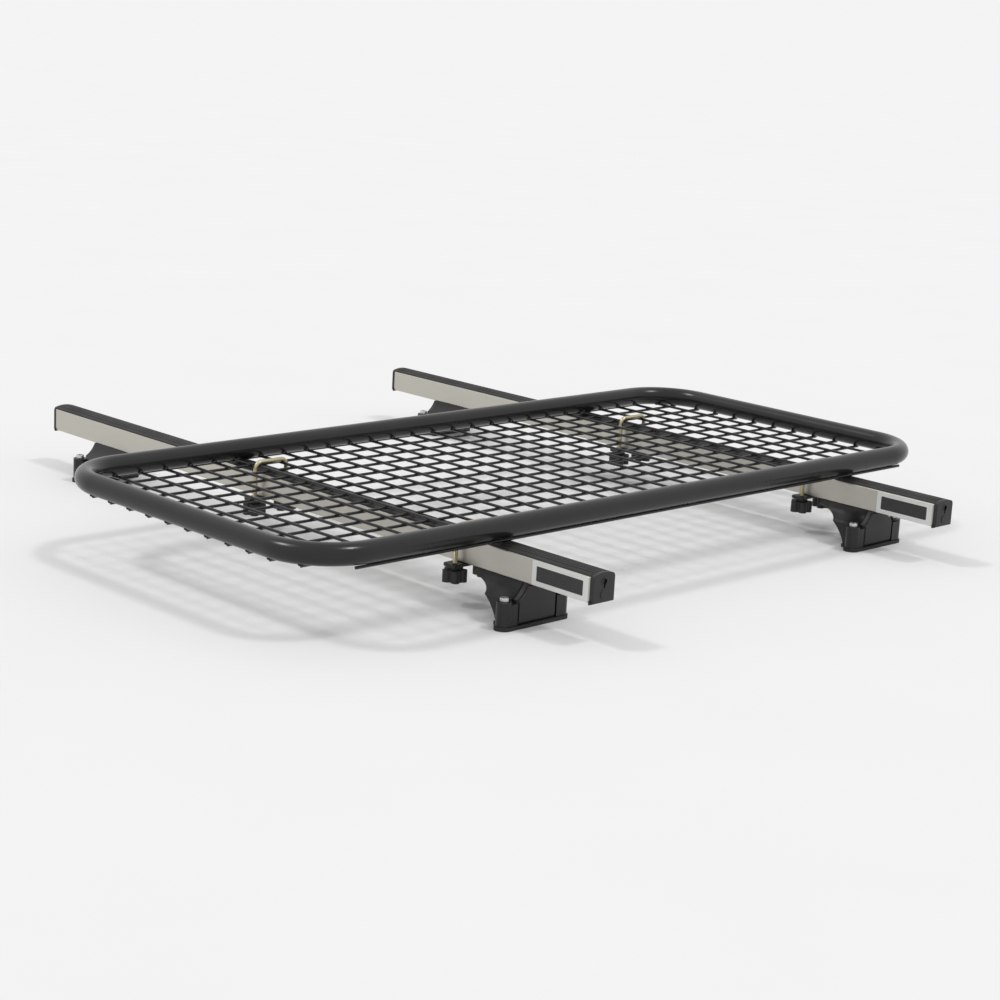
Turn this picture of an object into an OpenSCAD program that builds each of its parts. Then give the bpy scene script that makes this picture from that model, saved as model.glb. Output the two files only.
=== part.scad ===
// Flat platform roof rack: a welded mesh platform in a bent tube hoop, clamped to two
// cross bars that stand on four feet.
// X runs across the rack with +X on its left side, Y runs to its rear end, Z is up.
// The origin is on the ground plane of the feet, under the middle of the rack.

/* [Platform hoop] */
// Width of the hoop between the tube centre lines
hoop_w = 640; // [500:10:800]
// Length of the hoop between the tube centre lines
hoop_l = 1442; // [1300:1:1600]
// Outer diameter of the hoop tube
tube_d = 35; // [30:1:42]
// Bend radius of the hoop corners at the tube centre line
bend_r = 100; // [80:5:130]
// Distance from the arms of the left feet to the middle of the left clamps
clamp_off = 36; // [26:1:120]

/* [Mesh] */
// Diameter of the mesh wires
wire_d = 5; // [4:0.5:6]
// Pitch of the mesh, both ways
cell = 50; // [45:1:60]
// Sides of each wire
wire_sides = 8; // [6:2:12]

/* [Cross bars] */
// Length of each cross bar
bar_l = 1400; // [1300:10:1600]
// Width of each cross bar
bar_w = 45; // [40:1:50]
// Height of the metal part of each cross bar
bar_h = 40; // [36:1:46]
// Wall thickness of the bars
bar_wall = 2.5; // [2:0.5:4]
// Height of the rubber strip's crown above the metal
crown_h = 6; // [4:1:8]
// Mesh cells from the middle of the platform forward to the front bar
bar_front_cells = 7; // [6:1:9]
// Mesh cells from the middle of the platform back to the rear bar
bar_rear_cells = 10; // [7:1:10]
// Thickness of the end caps outside the bar
cap_t = 8; // [6:1:12]

/* [Feet] */
// Height from the ground plane of the feet to the underside of the bars
foot_h = 68; // [60:1:80]
// Distance of each foot's outer face from the end of its bar
foot_inset = 137; // [80:1:200]
// Length of the arm under the bar
arm_l = 102; // [92:2:120]
// Thickness of the foot at its base, measured along the bar
post_t = 26; // [22:1:40]
// Length of the foot at its base, across the bar
foot_l = 142; // [136:2:160]
// Thickness of the rubber pad under each foot
pad_t = 6; // [4:1:8]

/* [Clamps] */
// Diameter of the U bolt rod
rod_d = 8; // [6:1:8]
// Height of the U bolt's crown line above the mesh
crown_rise = 4; // [4:1:12]
// Diameter over the lobes of the clamp knobs
knob_d = 40; // [34:1:44]
// Height of the clamp knobs
knob_h = 24; // [20:1:28]
// Thickness of the bridge plates
bridge_t = 5; // [4:1:6]

/* [Hidden] */
$fn = 48;
eps = 0.01;
bar_top = foot_h + bar_h + crown_h;
weld = 0.6;
wire_low_z = bar_top + wire_d / 2;
wire_top_z = wire_low_z + wire_d - weld;
mesh_top = wire_top_z + wire_d / 2;
tube_z = wire_top_z - wire_d / 2 + tube_d / 2;
tube_r = tube_d / 2;
corner_x = hoop_w / 2 - bend_r;
corner_y = hoop_l / 2 - bend_r;
bars_y = [-bar_front_cells * cell, bar_rear_cells * cell];
foot_x = bar_l / 2 - foot_inset;
knob_room = 25;
clamp_cells = floor((hoop_w / 2 - tube_r - knob_room) / cell);
platform_shift = foot_x - arm_l - clamp_off - clamp_cells * cell;

// Colours as the finish of each piece
coat = [0.16, 0.165, 0.17];
silver = [0.74, 0.73, 0.69];
plate_silver = [0.84, 0.84, 0.82];
rubber = [0.09, 0.09, 0.09];
plastic = [0.13, 0.13, 0.135];
zinc = [0.78, 0.74, 0.56];
steel = [0.7, 0.7, 0.7];

// Platform hoop

// A straight length of tube from one point to another in the level plane
module tube_run(from, to) {
    run = to - from;
    translate([from[0], from[1], tube_z])
        rotate([0, 90, atan2(run[1], run[0])])
            cylinder(d = tube_d, h = norm(run));
}

// A quarter bend about the centre of one corner
module tube_bend(turn) {
    rotate([0, 0, turn])
        translate([0, 0, tube_z])
            rotate_extrude(angle = 90)
                translate([bend_r, 0]) circle(d = tube_d);
}

module hoop() {
    half_w = hoop_w / 2;
    half_l = hoop_l / 2;
    color(coat) translate([platform_shift, 0, 0]) {
        for (side = [-1, 1]) {
            tube_run([side * half_w, -corner_y], [side * half_w, corner_y]);
            tube_run([-corner_x, side * half_l], [corner_x, side * half_l]);
        }
        translate([corner_x, corner_y, 0]) tube_bend(0);
        translate([-corner_x, corner_y, 0]) tube_bend(90);
        translate([-corner_x, -corner_y, 0]) tube_bend(180);
        translate([corner_x, -corner_y, 0]) tube_bend(270);
    }
}

// Mesh

wire_tip = 4;
side_reach = 0.6;
side_wire_off = 5;
wall_gap = 20;
inner_long = floor((hoop_w / 2 - wall_gap) / cell + 0.5);
inner_cross = floor((hoop_l / 2 - wall_gap) / cell + 0.5);

// How far the hoop's centre line reaches beyond a corner centre, a given way off it
function bend_reach(off) = off <= 0 ? bend_r : sqrt(max(0, bend_r ^ 2 - off ^ 2));
// Half length of a lengthwise wire at x, which passes under the end tubes
function long_reach(x) =
    corner_y + wire_tip + (abs(x) - corner_x >= bend_r ? side_reach * bend_r : bend_reach(abs(x) - corner_x));
// Half length of a crosswise wire at y, which meets the inner side of the tubes
function cross_reach(y) = corner_x + bend_reach(abs(y) - corner_y) - tube_r / 2;

// A wire along X, with a flat side up
module wire(length) {
    rotate([0, 90, 0]) rotate(180 / wire_sides)
        cylinder(d = wire_d / cos(180 / wire_sides), h = length, $fn = wire_sides);
}

// A lengthwise wire at x, from the middle of the rack to one end
module long_wire(x, end) {
    reach = long_reach(x);
    translate([x, end < 0 ? -reach : 0, wire_low_z]) rotate(90) wire(reach);
}

// A crosswise wire at y, on top of the lengthwise ones
module cross_wire(y) {
    reach = cross_reach(y);
    translate([-reach, y, wire_top_z]) wire(2 * reach);
}

// The half of the mesh on one side of the middle: -1 front, 1 rear.
// The outermost lengthwise wires run under the side tubes.
module mesh_half(end) {
    color(coat) translate([platform_shift, 0, 0]) union() {
        for (side = [-1, 1]) {
            for (i = [0 : inner_long - 1]) long_wire(side * (i + 0.5) * cell, end);
            long_wire(side * (hoop_w / 2 + side_wire_off), end);
        }
        for (i = [0 : inner_cross - 1]) cross_wire(end * (i + 0.5) * cell);
    }
}

module mesh_front() mesh_half(-1);
module mesh_rear() mesh_half(1);

// Cross bars

channel_w = 20;
channel_h = 6;
slot_w = 10;
lip = 2.5;

// Section of the metal bar, from its underside up
module bar_section() {
    difference() {
        translate([-bar_w / 2, 0]) square([bar_w, bar_h]);
        difference() {
            translate([-bar_w / 2 + bar_wall, bar_wall])
                square([bar_w - 2 * bar_wall, bar_h - bar_wall - lip]);
            translate([-channel_w / 2 - bar_wall, bar_h - lip - channel_h - bar_wall])
                square([channel_w + 2 * bar_wall, channel_h + bar_wall + lip]);
        }
        translate([-channel_w / 2, bar_h - lip - channel_h]) square([channel_w, channel_h]);
        translate([-slot_w / 2, bar_h - lip - eps]) square([slot_w, lip + 2 * eps]);
    }
}

strip_edge = 1.5;
crown_bow = crown_h - strip_edge;
crown_r = (bar_w ^ 2 / 4 + crown_bow ^ 2) / (2 * crown_bow);

// Height of the crowned top above the metal, a given way off its middle
function crown_at(x) = crown_h - crown_r + sqrt(crown_r ^ 2 - x ^ 2);

// Outline of the crowned top, above the metal
module crown_section() {
    intersection() {
        translate([-bar_w / 2, 0]) square([bar_w, crown_h]);
        translate([0, crown_h - crown_r]) circle(r = crown_r, $fn = 180);
    }
}

// Section of the rubber strip with its ribs and the tongue that fills the slot
module strip_section() {
    groove_d = 1.8;
    groove_lift = 0.3;
    grooves = 8;
    pitch = 4.6;
    tongue_t = 2.8;
    tongue_lap = 3;
    difference() {
        union() {
            crown_section();
            translate([-slot_w / 2, -lip - tongue_t / 2]) square([slot_w, lip + tongue_t / 2 + eps]);
            translate([-slot_w / 2 - tongue_lap, -lip - tongue_t - eps])
                square([slot_w + 2 * tongue_lap, tongue_t - 2 * eps]);
        }
        for (i = [0 : grooves - 1]) {
            x = (i - (grooves - 1) / 2) * pitch;
            translate([x, crown_at(x) + groove_lift]) circle(d = groove_d, $fn = 12);
        }
    }
}

// Runs a section along X, centred
module along_bar(length) {
    translate([-length / 2, 0, 0]) rotate([90, 0, 90]) linear_extrude(length) children();
}

module bar(y) color(silver) translate([0, y, foot_h]) along_bar(bar_l) bar_section();
module strip(y) color(rubber) translate([0, y, foot_h + bar_h]) along_bar(bar_l) strip_section();

module bar_front() bar(bars_y[0]);
module bar_rear() bar(bars_y[1]);
module strip_front() strip(bars_y[0]);
module strip_rear() strip(bars_y[1]);

// End caps

module cap_section() {
    translate([-bar_w / 2, 0]) square([bar_w, bar_h + eps]);
    translate([0, bar_h]) crown_section();
}

// A cap on the +X end of a bar, its inner face at x = 0
module cap_shape() {
    plug_l = 14;
    plug_h = 18;
    plug_gap = 0.4;
    flange = 2;
    flange_t = 3;
    flange_h = 6;
    key_d = 9;
    key_w = 3.6;
    key_depth = 2.5;
    key_z = bar_h - 8;
    oval_d = 15;
    oval_z = 12;
    plug_w = bar_w - 2 * bar_wall - 2 * plug_gap;
    difference() {
        union() {
            rotate([90, 0, 90]) linear_extrude(cap_t) cap_section();
            translate([0, -bar_w / 2 - flange, -flange]) cube([flange_t, bar_w + 2 * flange, flange_h]);
        }
        translate([cap_t - key_depth, 0, key_z]) rotate([0, 90, 0]) cylinder(d = key_d, h = key_depth + 1);
        translate([cap_t - key_depth, -key_w / 2, key_z - key_d - 1]) cube([key_depth + 1, key_w, key_d + 1]);
    }
    translate([cap_t - eps, 0, oval_z]) rotate([0, 90, 0]) cylinder(d = oval_d, h = 1);
    translate([-plug_l, -plug_w / 2, bar_wall + plug_gap]) cube([plug_l + eps, plug_w, plug_h]);
}

module cap(y, side) {
    color(plastic) translate([side * bar_l / 2, y, foot_h])
        mirror([side < 0 ? 1 : 0, 0, 0]) cap_shape();
}

module cap_front_left() cap(bars_y[0], 1);
module cap_front_right() cap(bars_y[0], -1);
module cap_rear_left() cap(bars_y[1], 1);
module cap_rear_right() cap(bars_y[1], -1);

// Bare badge plates on the front face of each bar, at its left end

module label_plate(y) {
    plate_l = 116;
    plate_t = 0.8;
    plate_h = bar_h - 2;
    end_gap = 2;
    field_l = 96;
    field_h = 23;
    field_gap = 11;
    color(plate_silver)
        translate([bar_l / 2 - end_gap - plate_l, y - bar_w / 2 - plate_t, foot_h + (bar_h - plate_h) / 2])
            difference() {
                cube([plate_l, plate_t, plate_h]);
                translate([plate_l - field_gap - field_l, -eps, (plate_h - field_h) / 2])
                    cube([field_l, plate_t / 2, field_h]);
            }
}

module label_front() label_plate(bars_y[0]);
module label_rear() label_plate(bars_y[1]);

// Feet

leg_top = foot_h - pad_t;
arm_edge = 10;
core_half = 50;
cover_half = 41;
cover_t = 12;
boss_d = 24;
boss_h = 38;
boss_off = foot_l / 2 - boss_d / 2;
web_h = boss_h - 4;
web_lap = 2;
cover_gap = 0.3;
clamp_bolt_d = 8;
shank_l = 24;
arm_r = 78;
shoulder_r = 45;
shoulder_z = boss_h - 2;

// Centre of the circle of radius r through two points, on the right of the way between them
function arc_centre(from, to, r) = let (run = to - from, half = norm(run) / 2)
    (from + to) / 2 + [run[1], -run[0]] / norm(run) * sqrt(max(r, half) ^ 2 - half ^ 2);

// Side view of the leg, seen along the bar: as wide as the bar at its top, with long concave shoulders
module leg_side(half, inset = 0) {
    centre = arc_centre([core_half, shoulder_z], [bar_w / 2, leg_top], shoulder_r);
    difference() {
        translate([-half, inset]) square([2 * half, leg_top - 2 * inset]);
        for (side = [-1, 1]) translate([side * centre[0], centre[1]])
            circle(r = shoulder_r + inset, $fn = 96);
    }
}

// Front view of the leg, its outer face at x = 0 and its arm reaching to -arm_l
module leg_front() {
    difference() {
        translate([-arm_l, 0]) square([arm_l, leg_top]);
        translate(arc_centre([-arm_l, leg_top - arm_edge], [-post_t, 0], arm_r)) circle(r = arm_r, $fn = 128);
    }
}

// A leg on the +X side, its outer face at x = 0 and the middle of its base at y = 0.
// An upright boss stands before and behind it, with a bore for its clamp bolt.
module leg_shape() {
    difference() {
        union() {
            intersection() {
                rotate([90, 0, 0]) linear_extrude(2 * core_half + 2, center = true) leg_front();
                translate([-arm_l - 1, 0, 0]) rotate([90, 0, 90])
                    linear_extrude(arm_l + 1) leg_side(core_half);
            }
            for (end = [-1, 1]) {
                translate([0, end * boss_off, 0]) cylinder(d = boss_d, h = boss_h);
                translate([-boss_d / 2, end > 0 ? core_half - web_lap : -boss_off, 0])
                    cube([boss_d / 2, boss_off - core_half + web_lap, web_h]);
                translate([-eps, end > 0 ? cover_half + cover_gap : -boss_off, 0])
                    cube([cover_t + eps, boss_off - cover_half - cover_gap, web_h]);
            }
        }
        for (end = [-1, 1])
            translate([0, end * boss_off, boss_h - shank_l - 1])
                cylinder(d = clamp_bolt_d + 0.5, h = shank_l + 2);
    }
}

module at_foot(y, side, z = pad_t) {
    translate([side * foot_x, y, z]) mirror([side < 0 ? 1 : 0, 0, 0]) children();
}

module leg(y, side) color(coat) at_foot(y, side) leg_shape();

module leg_front_left() leg(bars_y[0], 1);
module leg_front_right() leg(bars_y[0], -1);
module leg_rear_left() leg(bars_y[1], 1);
module leg_rear_right() leg(bars_y[1], -1);

// The bare cover on the outer face of each leg, its front edge stepped in
module cover(y, side) {
    step = 3;
    color(plastic) at_foot(y, side) {
        rotate([90, 0, 90]) linear_extrude(cover_t - step) leg_side(cover_half, 1);
        translate([cover_t - step - eps, 0, 0])
            rotate([90, 0, 90]) linear_extrude(step + eps) leg_side(cover_half - step, 1 + step);
    }
}

module cover_front_left() cover(bars_y[0], 1);
module cover_front_right() cover(bars_y[0], -1);
module cover_rear_left() cover(bars_y[1], 1);
module cover_rear_right() cover(bars_y[1], -1);

// The rubber pad that each foot stands on, narrower under the bosses
module pad(y, side) {
    lap = 2;
    color(rubber) at_foot(y, side, 0) linear_extrude(pad_t) {
        translate([-post_t - lap, -core_half - lap])
            square([post_t + cover_t + 2 * lap, 2 * (core_half + lap)]);
        translate([-boss_d / 2 - lap, -boss_off]) square([boss_d / 2 + cover_t + 2 * lap, 2 * boss_off]);
        for (end = [-1, 1]) translate([0, end * boss_off]) circle(d = boss_d + 2 * lap);
    }
}

module pad_front_left() pad(bars_y[0], 1);
module pad_front_right() pad(bars_y[0], -1);
module pad_rear_left() pad(bars_y[1], 1);
module pad_rear_right() pad(bars_y[1], -1);

// The two clamp bolts of each foot, their heads on the bosses
module bolts(y, side) {
    head_d = 14;
    head_h = 6;
    socket_depth = 3;
    socket_w = 6;
    color(steel) at_foot(y, side, pad_t + boss_h)
        for (end = [-1, 1])
            translate([0, end * boss_off, 0]) difference() {
                union() {
                    cylinder(d = head_d, h = head_h);
                    translate([0, 0, -shank_l]) cylinder(d = clamp_bolt_d, h = shank_l + 1);
                }
                translate([0, 0, head_h - socket_depth])
                    cylinder(d = socket_w / cos(30), h = socket_depth + 1, $fn = 6);
            }
}

module bolts_front_left() bolts(bars_y[0], 1);
module bolts_front_right() bolts(bars_y[0], -1);
module bolts_rear_left() bolts(bars_y[1], 1);
module bolts_rear_right() bolts(bars_y[1], -1);

// U bolt clamps

leg_gap = cell + 2 * rod_d;
// Mesh cells from the middle of the platform to each clamp, on the right and on the left
clamp_cells_front = [-clamp_cells, clamp_cells];
clamp_cells_rear = [1 - clamp_cells, clamp_cells];
crown_z = mesh_top + crown_rise;
knob_top = foot_h - bridge_t;
rod_end = knob_top - knob_h + 4;
rod_bend = 12;

module at_clamp(y, side) {
    cells = y < 0 ? clamp_cells_front : clamp_cells_rear;
    translate([platform_shift + cells[side < 0 ? 0 : 1] * cell, y, 0]) children();
}

module u_bolt(y, side) {
    straight = leg_gap - 2 * rod_bend;
    color(zinc) at_clamp(y, side) {
        for (end = [-1, 1]) {
            translate([0, end * leg_gap / 2, rod_end])
                cylinder(d = rod_d, h = crown_z - rod_bend - rod_end);
            translate([0, end * straight / 2, crown_z - rod_bend])
                rotate([90, 0, 90]) rotate(end > 0 ? 0 : 90)
                    rotate_extrude(angle = 90) translate([rod_bend, 0]) circle(d = rod_d);
        }
        translate([0, -straight / 2, crown_z]) rotate([-90, 0, 0]) cylinder(d = rod_d, h = straight);
    }
}

module u_bolt_front_left() u_bolt(bars_y[0], 1);
module u_bolt_front_right() u_bolt(bars_y[0], -1);
module u_bolt_rear_left() u_bolt(bars_y[1], 1);
module u_bolt_rear_right() u_bolt(bars_y[1], -1);

// The plate that bridges the two legs of a U bolt under the bar
module bridge(y, side) {
    bridge_w = 26;
    hole_d = rod_d + 1;
    color(coat) at_clamp(y, side) translate([0, 0, foot_h - bridge_t]) difference() {
        translate([-bridge_w / 2, -leg_gap / 2 - 14, 0]) cube([bridge_w, leg_gap + 28, bridge_t]);
        for (end = [-1, 1])
            translate([0, end * leg_gap / 2, -1]) cylinder(d = hole_d, h = bridge_t + 2);
    }
}

module bridge_front_left() bridge(bars_y[0], 1);
module bridge_front_right() bridge(bars_y[0], -1);
module bridge_rear_left() bridge(bars_y[1], 1);
module bridge_rear_right() bridge(bars_y[1], -1);

// A lobed hand knob, its top at z = 0
module knob_shape() {
    lobes = 5;
    lobe_d = 14;
    collar_d = 20;
    collar_h = 5;
    bore_d = rod_d + 0.4;
    translate([0, 0, -knob_h]) linear_extrude(knob_h - collar_h) difference() {
        union() {
            circle(d = knob_d - lobe_d + 2);
            for (i = [0 : lobes - 1])
                rotate(i * 360 / lobes) translate([(knob_d - lobe_d) / 2, 0]) circle(d = lobe_d);
        }
        circle(d = bore_d);
    }
    translate([0, 0, -collar_h - 1]) linear_extrude(collar_h + 1) difference() {
        circle(d = collar_d);
        circle(d = bore_d);
    }
}

module knobs(y, side) {
    color(plastic) at_clamp(y, side)
        for (end = [-1, 1])
            translate([0, end * leg_gap / 2, knob_top]) rotate(end > 0 ? 0 : 180) knob_shape();
}

module knobs_front_left() knobs(bars_y[0], 1);
module knobs_front_right() knobs(bars_y[0], -1);
module knobs_rear_left() knobs(bars_y[1], 1);
module knobs_rear_right() knobs(bars_y[1], -1);

hoop();
mesh_front();
mesh_rear();
bar_front();
bar_rear();
strip_front();
strip_rear();
cap_front_left();
cap_front_right();
cap_rear_left();
cap_rear_right();
label_front();
label_rear();
leg_front_left();
leg_front_right();
leg_rear_left();
leg_rear_right();
cover_front_left();
cover_front_right();
cover_rear_left();
cover_rear_right();
pad_front_left();
pad_front_right();
pad_rear_left();
pad_rear_right();
bolts_front_left();
bolts_front_right();
bolts_rear_left();
bolts_rear_right();
u_bolt_front_left();
u_bolt_front_right();
u_bolt_rear_left();
u_bolt_rear_right();
bridge_front_left();
bridge_front_right();
bridge_rear_left();
bridge_rear_right();
knobs_front_left();
knobs_front_right();
knobs_rear_left();
knobs_rear_right();
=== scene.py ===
import math
from types import SimpleNamespace

import bmesh
import bpy
from mathutils import Matrix, Vector


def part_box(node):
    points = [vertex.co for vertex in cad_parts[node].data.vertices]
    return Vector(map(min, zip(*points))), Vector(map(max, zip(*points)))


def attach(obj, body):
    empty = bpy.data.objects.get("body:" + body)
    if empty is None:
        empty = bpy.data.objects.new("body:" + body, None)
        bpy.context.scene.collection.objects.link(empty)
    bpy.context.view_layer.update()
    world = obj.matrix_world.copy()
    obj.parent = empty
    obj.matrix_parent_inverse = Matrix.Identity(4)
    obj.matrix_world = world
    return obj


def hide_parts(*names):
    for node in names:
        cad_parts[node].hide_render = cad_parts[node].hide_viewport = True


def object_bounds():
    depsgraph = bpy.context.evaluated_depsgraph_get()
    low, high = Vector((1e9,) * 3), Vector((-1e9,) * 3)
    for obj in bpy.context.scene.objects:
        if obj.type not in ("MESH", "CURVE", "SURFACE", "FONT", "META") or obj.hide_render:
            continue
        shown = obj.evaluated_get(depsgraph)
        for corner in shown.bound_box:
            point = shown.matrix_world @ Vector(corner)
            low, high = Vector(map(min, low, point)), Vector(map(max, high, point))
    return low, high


bl_info = {
    "name": "Platform roof rack",
    "version": (1, 0, 0),
    "blender": (4, 5, 0),
    "location": "3D View > Sidebar > Roof rack",
    "description": "Models a mesh platform roof rack on two cross bars, over its CAD frame",
    "category": "Object",
}

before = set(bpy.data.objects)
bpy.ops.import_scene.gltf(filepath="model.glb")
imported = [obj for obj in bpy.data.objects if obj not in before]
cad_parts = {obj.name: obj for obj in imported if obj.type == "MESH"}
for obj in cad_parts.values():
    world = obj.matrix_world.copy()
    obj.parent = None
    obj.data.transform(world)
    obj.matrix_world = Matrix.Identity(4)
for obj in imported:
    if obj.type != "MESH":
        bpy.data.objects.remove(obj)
CAD_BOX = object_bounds()
BODY = "root"
ENDS = ("front", "rear")
SIDES = ("left", "right")
FEET = [(end, side) for end in ENDS for side in SIDES]


# Sizes taken from the frame

def size_of(node):
    low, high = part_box(node)
    return SimpleNamespace(low=Vector(low), high=Vector(high), mid=(Vector(low) + Vector(high)) / 2,
                           size=Vector(high) - Vector(low))


HOOP = size_of("hoop")
BAR = {end: size_of("bar_" + end) for end in ENDS}
STRIP = {end: size_of("strip_" + end) for end in ENDS}
MESH = {end: size_of("mesh_" + end) for end in ENDS}
LABEL = {end: size_of("label_" + end) for end in ENDS}
CAP = {foot: size_of("cap_%s_%s" % foot) for foot in FEET}
PAD = {foot: size_of("pad_%s_%s" % foot) for foot in FEET}
U_BOLT = {foot: size_of("u_bolt_%s_%s" % foot) for foot in FEET}

TUBE_D = HOOP.size.z
HOOP_W = HOOP.size.x - TUBE_D
HOOP_L = HOOP.size.y - TUBE_D
SHIFT_X = HOOP.mid.x
BAR_W = BAR["front"].size.y
BAR_Z = BAR["front"].low.z
BAR_TOP = BAR["front"].high.z
CROWN_TOP = STRIP["front"].high.z
FRONT_Y = BAR["front"].mid.y
SPACING = BAR["rear"].mid.y - FRONT_Y

# What is copied to all four feet is modelled at the front left one

FOOT = ("front", "left")
LEG = size_of("leg_front_left")
COVER = size_of("cover_front_left")
BOLTS = size_of("bolts_front_left")
BRIDGE = size_of("bridge_front_left")
KNOBS = size_of("knobs_front_left")
FOOT_X = COVER.low.x
COVER_T = COVER.size.x
ARM_L = FOOT_X - LEG.low.x
FOOT_L = LEG.size.y
PAD_T = PAD[FOOT].high.z
HOOK_Y = U_BOLT[FOOT].size.y

# How far a cutter runs past what it cuts
PAST = 0.01
# How deep a piece sinks into the one that it is united or joined with
LAP = 0.001
# Points nearer than this are one
CLOSE = 0.0001
# Least cosine between a direction and the axis that it follows
ALONG = 0.9


# Settings that a user would change

def length(name, about, value, low=0.0, high=3.0):
    return bpy.props.FloatProperty(name=name, description=about, default=value, min=low, max=high,
                                   unit="LENGTH", precision=4)


def colour(name, about, value):
    return bpy.props.FloatVectorProperty(name=name, description=about, default=value, size=3,
                                         min=0.0, max=1.0, subtype="COLOR")


def count(name, about, value, low, high):
    return bpy.props.IntProperty(name=name, description=about, default=value, min=low, max=high)


class RackPlatformSettings(bpy.types.PropertyGroup):
    """Sizes of the hoop and its mesh."""
    bend_radius: length("Bend radius", "Radius of the hoop's corners at the tube's centre line", 0.1)
    tube_sides: count("Tube sides", "Sides round the tube", 40, 12, 96)
    bend_steps: count("Bend steps", "Steps round each corner", 24, 6, 64)
    wire_diameter: length("Wire diameter", "Diameter of the mesh wires", 0.005)
    pitch: length("Mesh pitch", "Distance between wires, both ways", 0.05)
    long_wires: count("Lengthwise wires", "Wires along the rack", 14, 4, 40)
    cross_wires: count("Crosswise wires", "Wires across the rack", 28, 4, 60)
    side_reach: length("Side wire reach", "From a corner's start to the tip of the side wires", 0.024)
    wire_tip: length("Wire tip", "How far the lengthwise wires run past the tube's centre line", 0.004)
    tip_bevel: length("Tip bevel", "Bevel at the tips of the wires", 0.0008)


class RackBarSettings(bpy.types.PropertyGroup):
    """Sizes of the cross bars, their strips, caps and badge plates."""
    wall: length("Bar wall", "Wall thickness of the bars", 0.0025)
    edge: length("Bar edge", "Rounding of the bars' long edges", 0.0018)
    slot_width: length("Slot width", "Width of the slot in the bar's top", 0.01)
    channel_width: length("Channel width", "Width of the channel under the slot", 0.02)
    channel_height: length("Channel height", "Height of the channel under the slot", 0.006)
    crown_edge: length("Strip edge", "Height of the rubber strip at its sides", 0.0015)
    corner: length("Corner", "Rounding of the strips' and caps' upper corners", 0.01)
    grooves: count("Grooves", "Grooves along each rubber strip", 5, 0, 20)
    groove_pitch: length("Groove pitch", "Distance between grooves", 0.0068)
    groove_diameter: length("Groove diameter", "Diameter of the groove's round bottom", 0.003)
    field_length: length("Badge field length", "Length of the dark field", 0.096)
    field_height: length("Badge field height", "Height of the dark field", 0.023)
    field_gap: length("Badge field gap", "From the dark field to the outer end of its plate", 0.011)
    cap_relief: length("Cap relief", "How far the raised details stand out of the end cap", 0.001)
    flange_depth: length("Flange depth", "Depth of the cap's flange along the bar", 0.003)
    flange_height: length("Flange height", "Height of the cap's flange", 0.006)
    key_diameter: length("Key hole", "Diameter of the round part of the key hole", 0.009)
    key_drop: length("Key drop", "From the bar's top down to the middle of the key hole", 0.008)
    key_depth: length("Key depth", "Depth of the key hole", 0.0025)
    key_slot_width: length("Key slot width", "Width of the slot below the key hole", 0.0036)
    key_slot_length: length("Key slot length", "From the key hole's middle to the end of its slot", 0.01)
    ring_width: length("Ring width", "Width of the raised ring round the key hole", 0.002)
    ring_rise: length("Ring rise", "How far the ring stands out of the cap's face", 0.0006)
    oval_diameter: length("Cap oval", "Diameter of the raised oval on the end cap", 0.015)
    oval_height: length("Oval height", "Height of the oval's middle above the bar's underside", 0.012)
    plug_gap: length("Plug gap", "Gap between the cap's plug and the bar's walls", 0.0004)
    plug_height: length("Plug height", "Height of the cap's plug", 0.018)
    plate_corner: length("Plate corner", "Rounding of the badge plates' corners", 0.002)
    field_corner: length("Field corner", "Rounding of the dark fields' corners", 0.0015)


class RackFootSettings(bpy.types.PropertyGroup):
    """Sizes of the feet."""
    post: length("Post", "Thickness of the foot at its base, measured along the bar", 0.026)
    arm_edge: length("Arm edge", "Thickness of the arm at its tip", 0.01)
    arm_curve: length("Arm curve", "Radius of the hollow curve under the arm", 0.078)
    core: length("Core", "Length of the leg at its base, without the bosses", 0.1)
    shoulder: length("Shoulder", "Radius of the hollow curve of the leg's shoulders", 0.045)
    shoulder_drop: length("Shoulder drop", "From the top of a boss down to the shoulder's low end", 0.002)
    boss: length("Boss diameter", "Diameter of the two upright bosses", 0.024)
    head: length("Bolt head diameter", "Diameter of the clamp bolt heads", 0.014)
    head_height: length("Bolt head height", "Height of the clamp bolt heads", 0.006)
    socket: length("Socket", "Width across the flats of the bolt heads' socket", 0.006)
    shank: length("Shank", "Diameter of the clamp bolts' shank", 0.008)
    cover_inset: length("Cover inset", "How far the cover stays inside the leg's outline", 0.001)
    cover_gap: length("Cover gap", "Gap between the cover and the bosses' ears", 0.0003)
    ear_drop: length("Ear drop", "From the top of a boss down to its ear", 0.004)
    cover_step: length("Cover step", "Height of the cover's raised field", 0.003)
    socket_depth: length("Socket depth", "Depth of the bolt heads' socket", 0.003)


class RackClampSettings(bpy.types.PropertyGroup):
    """Sizes of the U bolt clamps."""
    rod: length("Rod", "Diameter of the U bolt rod", 0.008)
    bend: length("Rod bend", "Bend radius of the U bolt at its centre line", 0.012)
    thread_pitch: length("Thread pitch", "Pitch of the thread", 0.00125)
    thread_run: length("Thread run", "Length of the thread from the rod's end", 0.046)
    lobes: count("Lobes", "Lobes round each knob", 5, 3, 9)
    lobe: length("Lobe", "Diameter of each lobe", 0.014)
    collar: length("Collar", "Diameter of the knob's collar", 0.02)
    collar_height: length("Collar height", "Height of the knob's collar", 0.005)
    dish: length("Dish", "Depth of the hollow under each knob", 0.0025)
    bridge_corner: length("Bridge corner", "Rounding of the bridge plates' corners", 0.004)
    hole_gap: length("Hole gap", "Added to the rod's diameter for the bridge plates' holes", 0.001)
    bore_gap: length("Bore gap", "Added to the rod's diameter for the knobs' bores", 0.0004)


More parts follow.
